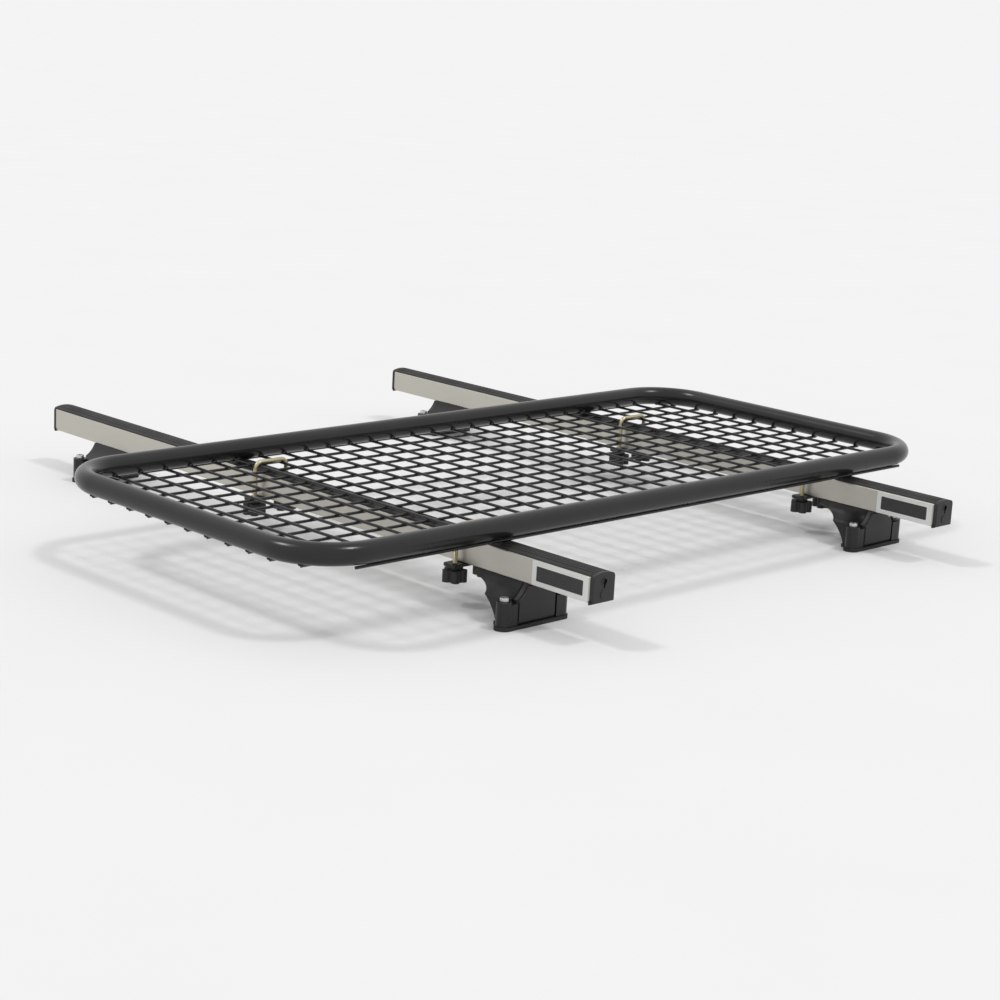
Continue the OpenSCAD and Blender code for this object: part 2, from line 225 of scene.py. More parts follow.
class RackEdgeSettings(bpy.types.PropertyGroup):
    """Rounding of the edges of each piece."""
    cap: length("Cap", "Rounding of the end caps", 0.0012)
    flange: length("Flange", "Rounding of the caps' flanges", 0.0006)
    ring: length("Key ring", "Rounding of the rings round the key holes", 0.0003)
    oval: length("Oval", "Rounding of the ovals on the caps", 0.0007)
    plug: length("Plug", "Rounding of the caps' plugs", 0.0008)
    plate: length("Badge plate", "Rounding of the badge plates' faces", 0.00015)
    leg: length("Leg", "Rounding of the cast legs", 0.0016)
    cover: length("Cover", "Rounding of the leg covers", 0.0011)
    pad: length("Pad", "Rounding of the foot pads", 0.0009)
    head: length("Bolt head", "Rounding of the bolt heads", 0.0009)
    shank: length("Bolt shank", "Rounding of the bolt shanks", 0.0008)
    rod_core: length("Thread core", "Rounding of the U bolts' tips", 0.0006)
    rod_neck: length("Rod neck", "Rounding where the U bolts' threads begin", 0.0004)
    bridge: length("Bridge", "Rounding of the bridge plates", 0.0006)
    grip: length("Grip", "Rounding of the knobs' lobes", 0.002)
    collar: length("Collar", "Rounding of the knobs' collars", 0.001)


class RackFinishSettings(bpy.types.PropertyGroup):
    """Colours of the finishes."""
    coat: colour("Powder coat", "Satin charcoal coat of hoop, mesh and feet", (0.0096, 0.0099, 0.0098))
    silver: colour("Anodised bar", "Warm silver of the bars", (0.52, 0.50, 0.45))
    plate: colour("Badge plate", "Brighter silver of the bare plates", (0.37, 0.362, 0.33))
    field: colour("Badge field", "Dark field of the bare plates", (0.016, 0.016, 0.0155))
    rubber: colour("Rubber", "Black rubber of strips and pads", (0.009, 0.009, 0.0088))
    plastic: colour("Plastic", "Black moulded plastic", (0.0085, 0.0085, 0.0088))
    zinc: colour("Zinc", "Yellow zinc of the U bolts", (0.46, 0.42, 0.28))
    steel: colour("Bolt steel", "Plated clamp bolts", (0.58, 0.58, 0.57))


# Modelling helpers

def clear_selection():
    if bpy.context.object and bpy.context.object.mode != "OBJECT":
        bpy.ops.object.mode_set(mode="OBJECT")
    bpy.ops.object.select_all(action="DESELECT")


def take(name):
    obj = bpy.context.object
    obj.name = name
    obj.data.name = name
    return obj


def make_active(*objs):
    clear_selection()
    for obj in objs:
        obj.select_set(True)
    bpy.context.view_layer.objects.active = objs[0]


def edit(obj):
    make_active(obj)
    bpy.ops.object.mode_set(mode="EDIT")
    bpy.ops.mesh.select_mode(type="VERT")


def edit_all(obj):
    edit(obj)
    bpy.ops.mesh.select_all(action="SELECT")


def leave_edit():
    bpy.ops.object.mode_set(mode="OBJECT")


def apply_place(obj):
    make_active(obj)
    bpy.ops.object.transform_apply(location=True, rotation=True, scale=True)


def add_box(name, low, high):
    """A box between two corners, its place already in its mesh."""
    clear_selection()
    low, high = Vector(low), Vector(high)
    bpy.ops.mesh.primitive_cube_add(size=1, location=(low + high) / 2, scale=high - low)
    obj = take(name)
    apply_place(obj)
    return obj


AXIS_TURN = {"X": (0, math.pi / 2, 0), "Y": (-math.pi / 2, 0, 0), "Z": (0, 0, 0)}


def add_rod(name, start, depth, diameter, axis="Z", sides=32):
    """A cylinder that starts at a point and runs along an axis."""
    clear_selection()
    along = Vector([depth if axis == a else 0 for a in "XYZ"])
    bpy.ops.mesh.primitive_cylinder_add(vertices=sides, radius=diameter / 2, depth=depth,
                                        location=Vector(start) + along / 2, rotation=AXIS_TURN[axis])
    obj = take(name)
    apply_place(obj)
    return obj


def pick(obj, faces=None, edges=None):
    """Selects in edit mode the faces or edges whose middle passes a test."""
    bpy.ops.mesh.select_all(action="DESELECT")
    mesh = bmesh.from_edit_mesh(obj.data)
    if faces:
        bpy.ops.mesh.select_mode(type="FACE")
        for face in mesh.faces:
            face.select_set(bool(faces(face.calc_center_median(), face.normal)))
    if edges:
        bpy.ops.mesh.select_mode(type="EDGE")
        for edge in mesh.edges:
            a, b = edge.verts[0].co, edge.verts[1].co
            edge.select_set(bool(edges((a + b) / 2, (b - a).normalized())))
    mesh.select_flush_mode()
    bmesh.update_edit_mesh(obj.data)


def along_axis(axis):
    """A test for pick: edges that run along an axis, or faces whose normal does."""
    return lambda middle, direction: abs(direction["XYZ".index(axis)]) > ALONG


def round_corners(obj, axis, radius, segments):
    """Bevels the edges of a box that run along one axis."""
    edit(obj)
    pick(obj, edges=along_axis(axis))
    bpy.ops.mesh.bevel(offset=radius, segments=segments)
    leave_edit()


def merge_flat_faces(obj):
    edit_all(obj)
    bpy.ops.mesh.dissolve_limited(angle_limit=math.radians(1))
    leave_edit()


def use_modifier(obj, kind, **values):
    make_active(obj)
    bpy.ops.object.modifier_add(type=kind)
    modifier = obj.modifiers[-1]
    for key, value in values.items():
        setattr(modifier, key, value)
    bpy.ops.object.modifier_apply(modifier=modifier.name)
    return obj


def cut(obj, *cutters):
    for cutter in cutters:
        use_modifier(obj, "BOOLEAN", operation="DIFFERENCE", object=cutter, solver="EXACT")
        drop(cutter)
    return obj


def unite(obj, *others):
    for other in others:
        use_modifier(obj, "BOOLEAN", operation="UNION", object=other, solver="EXACT")
        drop(other)
    return obj


def keep_inside(obj, mould):
    use_modifier(obj, "BOOLEAN", operation="INTERSECT", object=mould, solver="EXACT")
    drop(mould)
    return obj


def drop(obj):
    bpy.data.objects.remove(obj, do_unlink=True)


def join(name, parts):
    make_active(*parts)
    bpy.ops.object.join()
    return take(name)


def copy_of(obj, name):
    clear_selection()
    new = obj.copy()
    new.data = obj.data.copy()
    new.name = new.data.name = name
    bpy.context.collection.objects.link(new)
    return new


def move(obj, by):
    obj.location = Vector(by)
    apply_place(obj)
    return obj


def mirror_x(obj):
    """Turns a piece into its mirror image across X, facing outwards."""
    obj.scale = (-1, 1, 1)
    apply_place(obj)
    edit_all(obj)
    bpy.ops.mesh.normals_make_consistent(inside=False)
    leave_edit()
    return obj


def soften(obj, width, segments=3, angle=40):
    """Rounds every sharp edge."""
    return use_modifier(obj, "BEVEL", width=width, segments=segments, limit_method="ANGLE",
                        angle_limit=math.radians(angle), harden_normals=False, use_clamp_overlap=True)


def smooth(obj, angle=35):
    """Smooth shading that keeps flat faces flat beside their rounded edges."""
    make_active(obj)
    bpy.ops.object.shade_smooth_by_angle(angle=math.radians(angle))
    return use_modifier(obj, "WEIGHTED_NORMAL", mode="FACE_AREA", weight=50, keep_sharp=True)


def finish_piece(obj, nodes, slot, *materials):
    """Dresses a piece, lets it ride on the rack and stand for its CAD nodes."""
    obj.data.materials.clear()
    for material in materials:
        obj.data.materials.append(material)
    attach(obj, BODY)
    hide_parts(*nodes)
    return obj


# Materials

def new_material(name, base, metallic, roughness):
    """A material with its shader; returns it with its node tree and shader."""
    mat = bpy.data.materials.new(name)
    mat.use_nodes = True
    tree = mat.node_tree
    shader = tree.nodes["Principled BSDF"]
    shader.inputs["Base Color"].default_value = (*base, 1)
    shader.inputs["Metallic"].default_value = metallic
    shader.inputs["Roughness"].default_value = roughness
    return mat, tree, shader


def add_node(tree, kind, **values):
    """A shader node with some inputs set, named in lower case with underscores."""
    node = tree.nodes.new("ShaderNode" + kind)
    for key, value in values.items():
        node.inputs[key.replace("_", " ").title()].default_value = value
    return node


def object_coords(tree, scale=(1, 1, 1)):
    coords, mapping = add_node(tree, "TexCoord"), add_node(tree, "Mapping", scale=scale)
    tree.links.new(coords.outputs["Object"], mapping.inputs["Vector"])
    return mapping.outputs["Vector"]


def noise(tree, vector, scale, detail):
    node = add_node(tree, "TexNoise", scale=scale, detail=detail)
    tree.links.new(vector, node.inputs["Vector"])
    return node.outputs["Fac"]


def shade(tree, shader, pattern, *stops):
    """Lets a pattern vary the colour between stops, each a place and a colour."""
    node = add_node(tree, "ValToRGB")
    band = node.color_ramp
    while len(band.elements) < len(stops):
        band.elements.new(0.5)
    for element, (place, tone) in zip(band.elements, stops):
        element.position = place
        element.color = (*tone, 1)
    tree.links.new(pattern, node.inputs["Fac"])
    tree.links.new(node.outputs["Color"], shader.inputs["Base Color"])


def gloss(tree, shader, pattern, low, high):
    """Lets a pattern vary the roughness."""
    node = add_node(tree, "MapRange", from_min=0.3, from_max=0.7, to_min=low, to_max=high)
    tree.links.new(pattern, node.inputs["Value"])
    tree.links.new(node.outputs["Result"], shader.inputs["Roughness"])


def bump(tree, shader, height, strength, distance):
    node = add_node(tree, "Bump", strength=strength, distance=distance)
    tree.links.new(height, node.inputs["Height"])
    tree.links.new(node.outputs["Normal"], shader.inputs["Normal"])


def tint(base, factor):
    return tuple(min(1.0, c * factor) for c in base)


def mottle(tree, shader, base, pattern, places, factors):
    """Lets a pattern vary the colour between two tints of the base."""
    shade(tree, shader, pattern, *[(place, tint(base, factor)) for place, factor in zip(places, factors)])


def coat_material(base):
    mat, tree, shader = new_material("satin_powder_coat", base, 0.0, 0.25)
    shader.inputs["Specular IOR Level"].default_value = 0.38
    where = object_coords(tree)
    patch = noise(tree, where, 9, 4)
    mottle(tree, shader, base, patch, (0.3, 0.7), (0.88, 1.15))
    gloss(tree, shader, patch, 0.2, 0.3)
    bump(tree, shader, noise(tree, where, 900, 2), 0.25, 0.0002)
    return mat


def silver_material(base):
    mat, tree, shader = new_material("anodised_bar", base, 0.85, 0.4)
    lines = noise(tree, object_coords(tree, (1, 60, 60)), 14, 4)
    mottle(tree, shader, base, lines, (0.25, 0.75), (0.93, 1.05))
    gloss(tree, shader, lines, 0.34, 0.46)
    bump(tree, shader, lines, 0.12, 0.0001)
    return mat


def plate_material(base):
    mat, tree, shader = new_material("badge_plate", base, 0.9, 0.36)
    lines = noise(tree, object_coords(tree, (6, 300, 300)), 10, 3)
    mottle(tree, shader, base, lines, (0.25, 0.75), (0.95, 1.04))
    gloss(tree, shader, lines, 0.3, 0.42)
    return mat


def field_material(base):
    mat, tree, shader = new_material("badge_field", base, 0.0, 0.3)
    fleck = noise(tree, object_coords(tree), 160, 2)
    mottle(tree, shader, base, fleck, (0.3, 0.7), (0.85, 1.2))
    bump(tree, shader, fleck, 0.08, 0.0001)
    return mat


def rubber_material(base):
    mat, tree, shader = new_material("black_rubber", base, 0.0, 0.78)
    where = object_coords(tree)
    bloom = noise(tree, where, 24, 4)
    mottle(tree, shader, base, bloom, (0.3, 0.75), (0.8, 1.5))
    gloss(tree, shader, bloom, 0.55, 0.75)
    bump(tree, shader, noise(tree, where, 1400, 2), 0.3, 0.0002)
    return mat


def plastic_material(base):
    mat, tree, shader = new_material("moulded_plastic", base, 0.0, 0.5)
    where = object_coords(tree)
    patch = noise(tree, where, 30, 3)
    mottle(tree, shader, base, patch, (0.3, 0.7), (0.85, 1.25))
    gloss(tree, shader, patch, 0.46, 0.56)
    bump(tree, shader, noise(tree, where, 1100, 2), 0.3, 0.0002)
    return mat


def zinc_material(base):
    mat, tree, shader = new_material("yellow_zinc", base, 0.95, 0.32)
    where = object_coords(tree)
    film = noise(tree, where, 45, 4)
    rose = (base[0] * 0.95, base[1] * 0.84, base[2] * 0.85)
    shade(tree, shader, film, (0.25, rose), (0.5, base), (0.75, tint(base, 1.05)))
    gloss(tree, shader, film, 0.26, 0.42)
    bump(tree, shader, noise(tree, where, 600, 2), 0.12, 0.0001)
    return mat


def steel_material(base):
    mat, tree, shader = new_material("plated_steel", base, 0.95, 0.3)
    smear = noise(tree, object_coords(tree), 120, 3)
    mottle(tree, shader, base, smear, (0.3, 0.7), (0.85, 1.1))
    gloss(tree, shader, smear, 0.24, 0.4)
    return mat


FINISHES = {
    "coat": ("satin_powder_coat", coat_material),
    "silver": ("anodised_bar", silver_material),
    "plate": ("badge_plate", plate_material),
    "field": ("badge_field", field_material),
    "rubber": ("black_rubber", rubber_material),
    "plastic": ("moulded_plastic", plastic_material),
    "zinc": ("yellow_zinc", zinc_material),
    "steel": ("plated_steel", steel_material),
}


def finish_of(name):
    """The material of that finish, made when it is first asked for."""
    material, make = FINISHES[name]
    return bpy.data.materials.get(material) or make(tuple(getattr(bpy.context.scene.rack_finish, name)))


# Swept rods

def add_ring(name, place, diameter, sides, turn=(0, 0, 0)):
    """A circle, selected in edit mode to be swept."""
    clear_selection()
    bpy.ops.mesh.primitive_circle_add(vertices=sides, radius=diameter / 2, location=place, rotation=turn)
    ring = take(name)
    apply_place(ring)
    edit_all(ring)
    return ring


def extrude(*by):
    bpy.ops.mesh.extrude_region_move(TRANSFORM_OT_translate={"value": by})


# The hoop

def hoop_quarter(name):
    """A quarter of the hoop about its own middle: half an end tube, a corner bend, half a side tube."""
    sizes = bpy.context.scene.rack_platform
    bend = sizes.bend_radius
    half_w, half_l = HOOP_W / 2, HOOP_L / 2
    obj = add_ring(name, (0, half_l, HOOP.mid.z), TUBE_D, sizes.tube_sides, AXIS_TURN["X"])
    extrude(half_w - bend, 0, 0)
    bpy.ops.mesh.spin(steps=sizes.bend_steps, angle=math.pi / 2, axis=(0, 0, 1),
                      center=(half_w - bend, half_l - bend, HOOP.mid.z))
    extrude(0, bend - half_l, 0)
    leave_edit()
    return obj


def tube_hoop():
    obj = hoop_quarter("hoop_tube")
    use_modifier(obj, "MIRROR", use_axis=(True, True, False), use_clip=True, merge_threshold=CLOSE)
    edit_all(obj)
    bpy.ops.mesh.remove_doubles(threshold=CLOSE / 2)
    bpy.ops.mesh.normals_make_consistent(inside=False)
    leave_edit()
    move(obj, (SHIFT_X, 0, 0))
    return smooth(obj, 40)


class RACK_OT_hoop(bpy.types.Operator):
    """Model the bent tube hoop"""
    bl_idname = "rack.hoop"
    bl_label = "Tube hoop"

    def execute(self, context):
        finish_piece(tube_hoop(), ["hoop"], "powder_coat", finish_of("coat"))
        return {"FINISHED"}


# The mesh

# Share of the tube's radius by which the crosswise wires stop short of its centre line
CROSS_WIRE_INSET = 0.5
# Size of the welds under the end tubes and at the side tubes, in wire diameters
END_WELD = Vector((2.2, 3.4, 1.3))
SIDE_WELD = Vector((2.6, 2.2, 1.6))
# Rise of those welds, in wire diameters, and the share of the tube by which the side ones lie inside
END_WELD_RISE = 0.1
SIDE_WELD_RISE = 0.2
SIDE_WELD_INSET = 0.27
# Radius of the weld at each crossing in wire diameters, and its height against its width
CROSSING_WELD = 0.62
CROSSING_WELD_FLATNESS = 0.5


def way_of(end):
    return -1 if end == "front" else 1


def corner_middle():
    """Where the hoop's rear left corner bends about, seen from the middle of the hoop."""
    bend = bpy.context.scene.rack_platform.bend_radius
    return HOOP_W / 2 - bend, HOOP_L / 2 - bend


def bend_reach(off):
    """How far the hoop's centre line lies beyond the middle of its bend, at a distance off that middle."""
    bend = bpy.context.scene.rack_platform.bend_radius
    return bend if off <= 0 else math.sqrt(max(0.0, bend ** 2 - off ** 2))


def long_wire_x(number):
    sizes = bpy.context.scene.rack_platform
    return (number - (sizes.long_wires - 1) / 2) * sizes.pitch


def add_wire(name, start, run, axis):
    """A round wire with bevelled tips."""
    sizes = bpy.context.scene.rack_platform
    wire = add_rod(name, start, run, sizes.wire_diameter, axis, 12)
    edit(wire)
    pick(wire, faces=along_axis(axis))
    bpy.ops.mesh.bevel(offset=sizes.tip_bevel, segments=1)
    leave_edit()
    return wire


def mesh_half(end):
    """The lengthwise wires, the crosswise wires on them and the weld at each crossing, for one half."""
    sizes = bpy.context.scene.rack_platform
    way = way_of(end)
    low_z = MESH[end].low.z + sizes.wire_diameter / 2
    high_z = MESH[end].high.z - sizes.wire_diameter / 2
    corner_x, corner_y = corner_middle()
    parts = []
    for number in range(sizes.long_wires):
        x = long_wire_x(number)
        off = abs(x) - corner_x
        outermost = off >= sizes.bend_radius
        reach = corner_y + sizes.wire_tip + (sizes.side_reach if outermost else bend_reach(off))
        start = -reach if way < 0 else 0
        parts.append(add_wire("wire", (SHIFT_X + x, start, low_z), reach, "Y"))
    for number in range(sizes.cross_wires // 2):
        y = way * (number + 0.5) * sizes.pitch
        reach = corner_x + bend_reach(abs(y) - corner_y) - CROSS_WIRE_INSET * TUBE_D / 2
        parts.append(add_wire("wire", (SHIFT_X - reach, y, high_z), 2 * reach, "X"))
    parts.append(crossing_welds(end, (low_z + high_z) / 2))
    parts += tube_welds(end, high_z)
    return join("mesh_wires_" + end, parts)


def add_weld(place, size):
    clear_selection()
    bpy.ops.mesh.primitive_uv_sphere_add(segments=12, ring_count=8, radius=0.5, location=place, scale=size)
    weld = take("weld")
    apply_place(weld)
    return weld


def tube_welds(end, high_z):
    """The weld where each wire meets the tube: under the end tube, and at the sides."""
    sizes = bpy.context.scene.rack_platform
    way, wire = way_of(end), sizes.wire_diameter
    corner_x, corner_y = corner_middle()
    welds = []
    for number in range(1, sizes.long_wires - 1):
        x = long_wire_x(number)
        y = way * (corner_y + bend_reach(abs(x) - corner_x))
        place = (SHIFT_X + x, y, HOOP.low.z + END_WELD_RISE * wire)
        welds.append(add_weld(place, END_WELD * wire))
    for number in range(sizes.cross_wires // 2):
        y = (number + 0.5) * sizes.pitch
        x = corner_x + bend_reach(y - corner_y) - SIDE_WELD_INSET * TUBE_D
        for side in (-1, 1):
            place = (SHIFT_X + side * x, way * y, high_z + SIDE_WELD_RISE * wire)
            welds.append(add_weld(place, SIDE_WELD * wire))
    return welds


def crossing_welds(end, mid_z):
    """The squeezed weld at each crossing."""
    sizes = bpy.context.scene.rack_platform
    way = way_of(end)
    clear_selection()
    first = (SHIFT_X + long_wire_x(1), way * sizes.pitch / 2, mid_z)
    radius = CROSSING_WELD * sizes.wire_diameter
    bpy.ops.mesh.primitive_uv_sphere_add(segments=10, ring_count=6, radius=radius,
                                         scale=(1, 1, CROSSING_WELD_FLATNESS), location=first)
    weld = take("weld")
    apply_place(weld)
    across = (sizes.long_wires - 2, (sizes.pitch, 0, 0))
    along = (sizes.cross_wires // 2, (0, way * sizes.pitch, 0))
    for number, offset in (across, along):
        use_modifier(weld, "ARRAY", count=number, use_relative_offset=False, use_constant_offset=True,
                     constant_offset_displace=offset)
    return weld


class RACK_OT_mesh(bpy.types.Operator):
    """Model the welded wire mesh in two halves"""
    bl_idname = "rack.mesh"
    bl_label = "Wire mesh"

    def execute(self, context):
        for end in ENDS:
            finish_piece(smooth(mesh_half(end), 50), ["mesh_" + end], "powder_coat", finish_of("coat"))
        return {"FINISHED"}


# Placing copies

def two_of(obj, name, node, slot, *materials):
    """Finishes a piece modelled on the front bar, and its copy on the rear bar."""
    rear = move(copy_of(obj, name + "_rear"), (0, SPACING, 0))
    finish_piece(obj, [node + "_front"], slot, *materials)
    finish_piece(rear, [node + "_rear"], slot, *materials)
    return obj, rear


def four_of(obj, stem, nodes, slot, *materials):
    """Puts a piece modelled at the front left foot on all four feet, as mirror images on the right."""
    for foot in FEET:
        piece = copy_of(obj, "%s_%s_%s" % (stem, *foot))
        if foot[0] == "rear":
            move(piece, (0, SPACING, 0))
        if foot[1] == "right":
            mirror_x(piece)
        finish_piece(smooth(piece), ["%s_%s_%s" % (nodes, *foot)], slot, *materials)
    drop(obj)


# The cross bars

def bar_cutter(name, width, low_z, high_z):
    """A block along the middle of the front bar, past both its ends."""
    low_x, high_x = BAR["front"].low.x - PAST, BAR["front"].high.x + PAST
    return add_box(name, (low_x, FRONT_Y - width / 2, low_z), (high_x, FRONT_Y + width / 2, high_z))


def extrusion():
    """The front bar: rounded long edges, a hollow, and a slot over a channel in its top."""
    sizes = bpy.context.scene.rack_bar
    bar = add_box("bar_extrusion_front", BAR["front"].low, BAR["front"].high)
    round_corners(bar, "X", sizes.edge, 5)
    wall = sizes.wall
    floor_z = BAR_TOP - 2 * wall - sizes.channel_height
    return cut(bar,
               bar_cutter("hollow", BAR_W - 2 * wall, BAR_Z + wall, floor_z),
               bar_cutter("channel", sizes.channel_width, floor_z + wall, BAR_TOP - wall),
               bar_cutter("slot", sizes.slot_width, BAR_TOP - 2 * wall, BAR_TOP + wall))


class RACK_OT_bars(bpy.types.Operator):
    """Model the two silver cross bars"""
    bl_idname = "rack.bars"
    bl_label = "Cross bars"

    def execute(self, context):
        two_of(smooth(extrusion()), "bar_extrusion", "bar", "anodised", finish_of("silver"))
        return {"FINISHED"}


# Height of the grooves' middle above the strip's surface
GROOVE_RISE = 0.0003


def crown_radius():
    """Radius of the bow across the top of the strips and caps."""
    edge = bpy.context.scene.rack_bar.crown_edge
    bow = CROWN_TOP - BAR_TOP - edge
    return (BAR_W ** 2 / 4 + bow ** 2) / (2 * bow)


def crown_mould(low_x, high_x):
    """What strips and caps are trimmed by: as wide as the bar, bowed and with rounded upper corners."""
    radius = crown_radius()
    low_x, high_x = low_x - PAST, high_x + PAST
    block = add_box("crown", (low_x, FRONT_Y - BAR_W / 2, BAR_Z - PAST),
                    (high_x, FRONT_Y + BAR_W / 2, CROWN_TOP))
    edit(block)
    pick(block, edges=lambda middle, along: abs(along.x) > ALONG and middle.z > BAR_TOP)
    bpy.ops.mesh.bevel(offset=bpy.context.scene.rack_bar.corner, segments=8)
    leave_edit()
    bow = add_rod("bow", (low_x - PAST, FRONT_Y, CROWN_TOP - radius), high_x - low_x + 2 * PAST,
                  2 * radius, "X", 120)
    return keep_inside(block, bow)


def rubber_strip():
    """The front rubber strip: a crowned band with round grooves and a tongue that fills the slot."""
    sizes = bpy.context.scene.rack_bar
    low_x, high_x = BAR["front"].low.x, BAR["front"].high.x
    band = add_box("rubber_strip_front", (low_x, FRONT_Y - BAR_W, BAR_TOP),
                   (high_x, FRONT_Y + BAR_W, CROWN_TOP + LAP))
    keep_inside(band, crown_mould(low_x, high_x))
    radius = crown_radius()
    rods = []
    for number in range(sizes.grooves):
        off = (number - (sizes.grooves - 1) / 2) * sizes.groove_pitch
        top = CROWN_TOP - radius + math.sqrt(radius ** 2 - off ** 2)
        rods.append(add_rod("groove", (low_x - PAST, FRONT_Y + off, top + GROOVE_RISE),
                            high_x - low_x + 2 * PAST, sizes.groove_diameter, "X", 12))
    cut(band, join("grooves", rods))
    half_slot = sizes.slot_width / 2
    tongue = add_box("tongue", (low_x, FRONT_Y - half_slot, STRIP["front"].low.z),
                     (high_x, FRONT_Y + half_slot, BAR_TOP + LAP / 2))
    return unite(band, tongue)


class RACK_OT_strips(bpy.types.Operator):
    """Model the grooved rubber strips on the bars"""
    bl_idname = "rack.strips"
    bl_label = "Rubber strips"

    def execute(self, context):
        two_of(smooth(rubber_strip(), 30), "rubber_strip", "strip", "rubber", finish_of("rubber"))
        return {"FINISHED"}


def key_cutters(face_x, depth):
    """What cuts the key hole into the cap: a round bore and the slot below it."""
    sizes = bpy.context.scene.rack_bar
    key_z, half_slot = BAR_TOP - sizes.key_drop, sizes.key_slot_width / 2
    low_x, high_x = face_x - depth, face_x + PAST
    bore = add_rod("key_bore", (low_x, FRONT_Y, key_z), high_x - low_x, sizes.key_diameter, "X", 32)
    slot = add_box("key_slot", (low_x, FRONT_Y - half_slot, key_z - sizes.key_slot_length),
                   (high_x, FRONT_Y + half_slot, key_z))
    return bore, slot


def end_cap():
    """The cap on the left end of the front bar, with its key hole and raised oval."""
    sizes, edges = bpy.context.scene.rack_bar, bpy.context.scene.rack_edges
    cap = CAP[FOOT]
    start_x, face_x = BAR["front"].high.x, cap.high.x - sizes.cap_relief
    sunk_x = face_x - 2 * LAP
    body = add_box("end_cap", (start_x, FRONT_Y - BAR_W, BAR_Z), (face_x, FRONT_Y + BAR_W, CROWN_TOP + LAP))
    keep_inside(body, crown_mould(start_x, face_x))
    soften(body, edges.cap)
    cut(body, *key_cutters(face_x, sizes.key_depth))
    flange = add_box("flange", (start_x, cap.low.y, cap.low.z),
                     (start_x + sizes.flange_depth, cap.high.y, cap.low.z + sizes.flange_height))
    soften(flange, edges.flange, 2)
    ring = add_rod("key_ring", (sunk_x, FRONT_Y, BAR_TOP - sizes.key_drop), 2 * LAP + sizes.ring_rise,
                   sizes.key_diameter + 2 * sizes.ring_width, "X", 40)
    cut(ring, *key_cutters(face_x, PAST))
    soften(ring, edges.ring, 2)
    oval = add_rod("oval", (sunk_x, FRONT_Y, BAR_Z + sizes.oval_height), 2 * LAP + sizes.cap_relief,
                   sizes.oval_diameter, "X", 40)
    soften(oval, edges.oval)
    half_plug = BAR_W / 2 - sizes.wall - sizes.plug_gap
    plug_z = BAR_Z + sizes.wall + sizes.plug_gap
    plug = add_box("plug", (cap.low.x, FRONT_Y - half_plug, plug_z),
                   (start_x + LAP, FRONT_Y + half_plug, plug_z + sizes.plug_height))
    soften(plug, edges.plug, 2)
    return join("end_cap", [body, flange, ring, oval, plug])


class RACK_OT_caps(bpy.types.Operator):
    """Model the end caps with their key holes"""
    bl_idname = "rack.caps"
    bl_label = "End caps"

    def execute(self, context):
        four_of(end_cap(), "end_cap", "cap", "cap_plastic", finish_of("plastic"))
        return {"FINISHED"}


def badge_plate():
    """The bare plate on the front bar with a sunk dark field, and the field's place along Y."""
    sizes = bpy.context.scene.rack_bar
    low, high, mid = LABEL["front"].low, LABEL["front"].high, LABEL["front"].mid
    plate = add_box("badge_plate_front", low, high)
    round_corners(plate, "Y", sizes.plate_corner, 4)
    high_x, half_field = high.x - sizes.field_gap, sizes.field_height / 2
    field = add_box("field", (high_x - sizes.field_length, low.y - LAP, mid.z - half_field),
                    (high_x, mid.y, mid.z + half_field))
    round_corners(field, "Y", sizes.field_corner, 4)
    cut(plate, field)
    soften(plate, bpy.context.scene.rack_edges.plate, 2)
    return plate, mid.y


class RACK_OT_badges(bpy.types.Operator):
    """Model the bare badge plates"""
    bl_idname = "rack.badges"
    bl_label = "Badge plates"

    def execute(self, context):
        front, floor_y = badge_plate()
        plates = two_of(smooth(front), "badge_plate", "label", "badge_plate",
                        finish_of("plate"), finish_of("field"))
        for plate, depth in zip(plates, (floor_y, floor_y + SPACING)):
            edit(plate)
            pick(plate, faces=lambda middle, normal: normal.y < -ALONG and abs(middle.y - depth) < CLOSE)
            plate.active_material_index = 1
            bpy.ops.object.material_slot_assign()
            leave_edit()
        return {"FINISHED"}


# The feet

def arc_centre(start, end, radius):
    """The centre of a circle through two points, on the right of the way between them."""
    run = end - start
    half = run.length / 2
    off = math.sqrt(max(radius, half) ** 2 - half ** 2)
    return (start + end) / 2 + Vector((run.y, -run.x)).normalized() * off


def boss_top():
    return BOLTS.high.z - bpy.context.scene.rack_foot.head_height


def boss_y():
    """How far the bosses stand before and behind the bar's middle."""
    return FOOT_L / 2 - bpy.context.scene.rack_foot.boss / 2


def side_outline(name, low_x, high_x, half, inset):
    """A block with the leg's side outline: as wide as the bar at its top, with hollow shoulders."""
    sizes = bpy.context.scene.rack_foot
    block = add_box(name, (low_x, FRONT_Y - half, PAD_T + inset), (high_x, FRONT_Y + half, BAR_Z - inset))
    low_end = Vector((sizes.core / 2, boss_top() - sizes.shoulder_drop))
    centre = arc_centre(low_end, Vector((BAR_W / 2, BAR_Z)), sizes.shoulder)
    for side in (-1, 1):
        cut(block, add_rod("shoulder", (low_x - PAST, FRONT_Y + side * centre.x, centre.y),
                           high_x - low_x + 2 * PAST, 2 * (sizes.shoulder + inset), "X", 160))
    return block


